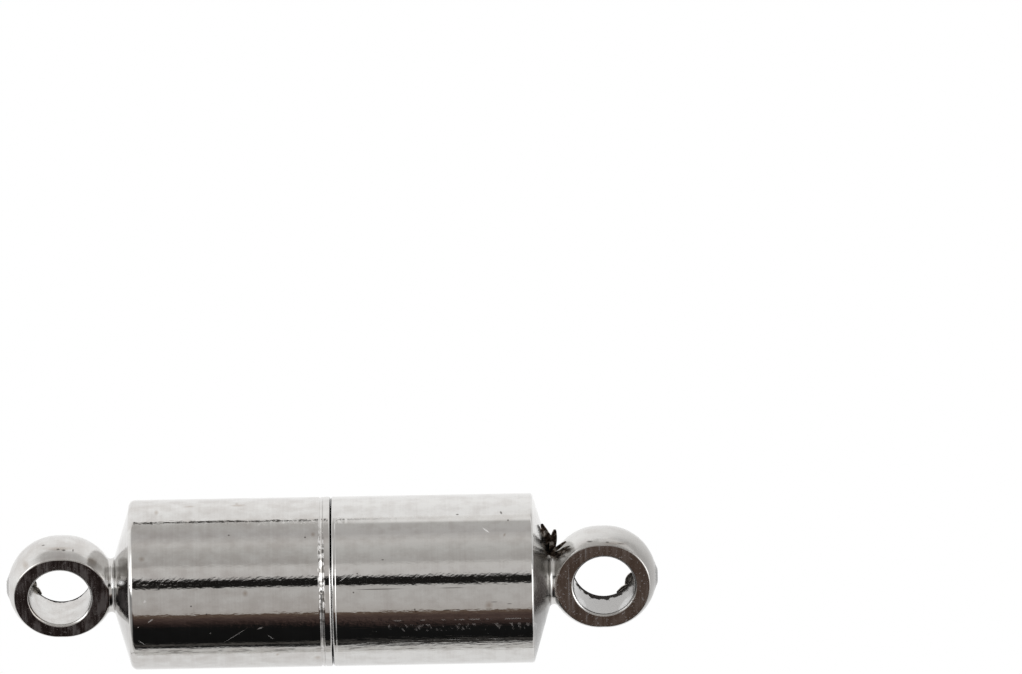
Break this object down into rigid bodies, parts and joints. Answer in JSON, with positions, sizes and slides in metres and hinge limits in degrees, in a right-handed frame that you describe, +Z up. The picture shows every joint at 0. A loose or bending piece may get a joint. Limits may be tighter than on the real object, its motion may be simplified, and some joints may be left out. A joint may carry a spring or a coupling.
{
  "type": "magnetic clasp",
  "caption": "Magnetic barrel clasp, closed and lying on its side: turned barrels that meet end to end, each with a magnet inside and a drilled eyelet on a short neck.",
  "frame": {"origin": "on the table, under the middle of the joint between the two halves, with the clasp lying on its side", "axes": "+X along the clasp towards the right half's eyelet, +Y across it, away from someone who looks at the picture upright, +Z up from the table"},
  "size_m": [0.0192, 0.005, 0.005],
  "materials": {
    "plated_brass": "bright rhodium-coloured plating over turned brass",
    "plated_magnet": "nickel-plated sintered magnet"
  },
  "bodies": {
    "left_half": {"left_shell": "plated_brass", "left_magnet": "plated_magnet"},
    "right_magnet": {"right_magnet": "plated_magnet"},
    "right_shell": {"right_shell": "plated_brass"}
  },
  "joints": [
    {"name": "pull_apart", "type": "slide", "parent": "left_half", "child": "right_magnet", "axis": [1, 0, 0], "range_m": [0, 0.0107]},
    {"name": "swivel", "type": "hinge", "parent": "right_magnet", "child": "right_shell", "pos_m": [0.003, 0, 0.0025], "axis": [1, 0, 0], "continuous": true}
  ]
}
